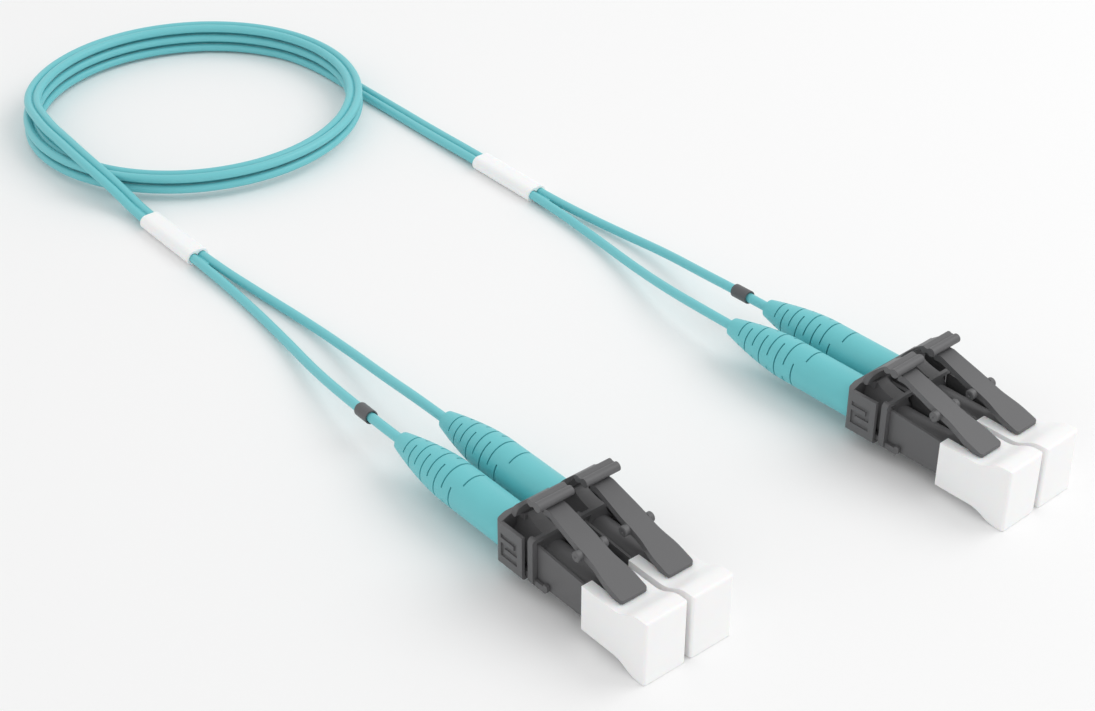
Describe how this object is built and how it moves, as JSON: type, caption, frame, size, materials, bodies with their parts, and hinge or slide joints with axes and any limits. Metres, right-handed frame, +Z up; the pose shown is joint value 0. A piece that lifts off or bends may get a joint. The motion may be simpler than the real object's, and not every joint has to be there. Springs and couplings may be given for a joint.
{
  "type": "duplex lc fibre patch cord connector",
  "caption": "Duplex LC fibre connector on its coiled patch cord, with latches, triggers, sprung ferrules, boots, dust caps and the matching connector at the far end.",
  "frame": {"origin": "under the middle of the near connector, on the surface it lies on", "axes": "+Y from the near connector's nose to its cord, +Z up, +X from its left plug to its right plug"},
  "size_m": [0.058, 0.1629, 0.0123],
  "materials": {
    "plug_grey": "fine matte moulded plastic, dark grey",
    "cap_white": "soft white plastic",
    "boot_aqua": "smooth satin aqua elastomer",
    "cord_aqua": "smooth satin aqua jacket",
    "band_grey": "dark grey shrink band",
    "ceramic_white": "polished white ceramic",
    "nickel_metal": "nickel-plated brass, satin",
    "spring_steel": "bright drawn spring wire"
  },
  "bodies": {
    "root": {"near_left_plug_housing": "plug_grey", "near_left_rear_body": "plug_grey", "near_left_crimp_post": "nickel_metal", "near_left_crimp_ring": "nickel_metal", "near_left_boot": "boot_aqua", "near_left_ferrule_spring": "spring_steel", "near_right_plug_housing": "plug_grey", "near_right_rear_body": "plug_grey", "near_right_crimp_post": "nickel_metal", "near_right_crimp_ring": "nickel_metal", "near_right_boot": "boot_aqua", "near_right_ferrule_spring": "spring_steel", "near_duplex_clip": "plug_grey", "near_sleeve": "cap_white", "near_marker_band": "band_grey", "near_left_leg": "cord_aqua", "near_right_leg": "cord_aqua", "far_left_plug_housing": "plug_grey", "far_left_rear_body": "plug_grey", "far_left_crimp_post": "nickel_metal", "far_left_crimp_ring": "nickel_metal", "far_left_boot": "boot_aqua", "far_left_ferrule_spring": "spring_steel", "far_right_plug_housing": "plug_grey", "far_right_rear_body": "plug_grey", "far_right_crimp_post": "nickel_metal", "far_right_crimp_ring": "nickel_metal", "far_right_boot": "boot_aqua", "far_right_ferrule_spring": "spring_steel", "far_duplex_clip": "plug_grey", "far_sleeve": "cap_white", "far_marker_band": "band_grey", "far_left_leg": "cord_aqua", "far_right_leg": "cord_aqua", "cord_coil": "cord_aqua"},
    "near_left_latch": {"near_left_latch_lever": "plug_grey"},
    "near_left_trigger": {"near_left_trigger": "plug_grey"},
    "near_left_ferrule_set": {"near_left_ferrule": "ceramic_white", "near_left_ferrule_flange": "nickel_metal"},
    "near_left_cap": {"near_left_dust_cap": "cap_white"},
    "near_right_latch": {"near_right_latch_lever": "plug_grey"},
    "near_right_trigger": {"near_right_trigger": "plug_grey"},
    "near_right_ferrule_set": {"near_right_ferrule": "ceramic_white", "near_right_ferrule_flange": "nickel_metal"},
    "near_right_cap": {"near_right_dust_cap": "cap_white"},
    "far_left_latch": {"far_left_latch_lever": "plug_grey"},
    "far_left_trigger": {"far_left_trigger": "plug_grey"},
    "far_left_ferrule_set": {"far_left_ferrule": "ceramic_white", "far_left_ferrule_flange": "nickel_metal"},
    "far_left_cap": {"far_left_dust_cap": "cap_white"},
    "far_right_latch": {"far_right_latch_lever": "plug_grey"},
    "far_right_trigger": {"far_right_trigger": "plug_grey"},
    "far_right_ferrule_set": {"far_right_ferrule": "ceramic_white", "far_right_ferrule_flange": "nickel_metal"},
    "far_right_cap": {"far_right_dust_cap": "cap_white"}
  },
  "joints": [
    {"name": "near_left_trigger_press", "type": "hinge", "parent": "root", "child": "near_left_trigger", "pos_m": [-0.00313, -0.00065, 0.0086], "axis": [1, 0, 0], "range_deg": [0, 15], "stiffness_Nm_per_rad": 0.0003},
    {"name": "near_left_latch_bend", "type": "hinge", "parent": "root", "child": "near_left_latch", "pos_m": [-0.00313, -0.0158, 0.0066], "axis": [-1, 0, 0], "range_deg": [0, 6], "stiffness_Nm_per_rad": 0.0003},
    {"name": "near_left_ferrule_float", "type": "slide", "parent": "root", "child": "near_left_ferrule_set", "axis": [0, 1, 0], "range_m": [0, 0.0008], "stiffness_N_per_m": 1000, "springref_m": -0.001, "deforming": ["near_left_ferrule_spring"]},
    {"name": "near_left_cap_pull", "type": "slide", "parent": "root", "child": "near_left_cap", "axis": [0, -1, 0], "range_m": [0, 0.012]},
    {"name": "near_right_trigger_press", "type": "hinge", "parent": "root", "child": "near_right_trigger", "pos_m": [0.00313, -0.00065, 0.0086], "axis": [1, 0, 0], "range_deg": [0, 15], "stiffness_Nm_per_rad": 0.0003},
    {"name": "near_right_latch_bend", "type": "hinge", "parent": "root", "child": "near_right_latch", "pos_m": [0.00313, -0.0158, 0.0066], "axis": [-1, 0, 0], "range_deg": [0, 6], "stiffness_Nm_per_rad": 0.0003},
    {"name": "near_right_ferrule_float", "type": "slide", "parent": "root", "child": "near_right_ferrule_set", "axis": [0, 1, 0], "range_m": [0, 0.0008], "stiffness_N_per_m": 1000, "springref_m": -0.001, "deforming": ["near_right_ferrule_spring"]},
    {"name": "near_right_cap_pull", "type": "slide", "parent": "root", "child": "near_right_cap", "axis": [0, -1, 0], "range_m": [0, 0.012]},
    {"name": "far_left_trigger_press", "type": "hinge", "parent": "root", "child": "far_left_trigger", "pos_m": [0.04195, -0.00759, 0.0086], "axis": [0.9995, 0.0302, 0], "range_deg": [0, 15], "stiffness_Nm_per_rad": 0.0003},
    {"name": "far_left_latch_bend", "type": "hinge", "parent": "root", "child": "far_left_latch", "pos_m": [0.0424, -0.02274, 0.0066], "axis": [-0.9995, -0.0302, 0], "range_deg": [0, 6], "stiffness_Nm_per_rad": 0.0003},
    {"name": "far_left_ferrule_float", "type": "slide", "parent": "root", "child": "far_left_ferrule_set", "axis": [-0.0302, 0.9995, 0], "range_m": [0, 0.0008], "stiffness_N_per_m": 1000, "springref_m": -0.001, "deforming": ["far_left_ferrule_spring"]},
    {"name": "far_left_cap_pull", "type": "slide", "parent": "root", "child": "far_left_cap", "axis": [0.0302, -0.9995, 0], "range_m": [0, 0.012]},
    {"name": "far_right_trigger_press", "type": "hinge", "parent": "root", "child": "far_right_trigger", "pos_m": [0.04819, -0.00741, 0.0086], "axis": [0.9995, 0.0302, 0], "range_deg": [0, 15], "stiffness_Nm_per_rad": 0.0003},
    {"name": "far_right_latch_bend", "type": "hinge", "parent": "root", "child": "far_right_latch", "pos_m": [0.04865, -0.02255, 0.0066], "axis": [-0.9995, -0.0302, 0], "range_deg": [0, 6], "stiffness_Nm_per_rad": 0.0003},
    {"name": "far_right_ferrule_float", "type": "slide", "parent": "root", "child": "far_right_ferrule_set", "axis": [-0.0302, 0.9995, 0], "range_m": [0, 0.0008], "stiffness_N_per_m": 1000, "springref_m": -0.001, "deforming": ["far_right_ferrule_spring"]},
    {"name": "far_right_cap_pull", "type": "slide", "parent": "root", "child": "far_right_cap", "axis": [0.0302, -0.9995, 0], "range_m": [0, 0.012]}
  ],
  "couplings": [
    {"joint": "near_left_latch_bend", "follows": "near_left_trigger_press", "ratio": 0.4},
    {"joint": "near_right_latch_bend", "follows": "near_right_trigger_press", "ratio": 0.4},
    {"joint": "far_left_latch_bend", "follows": "far_left_trigger_press", "ratio": 0.4},
    {"joint": "far_right_latch_bend", "follows": "far_right_trigger_press", "ratio": 0.4}
  ]
}
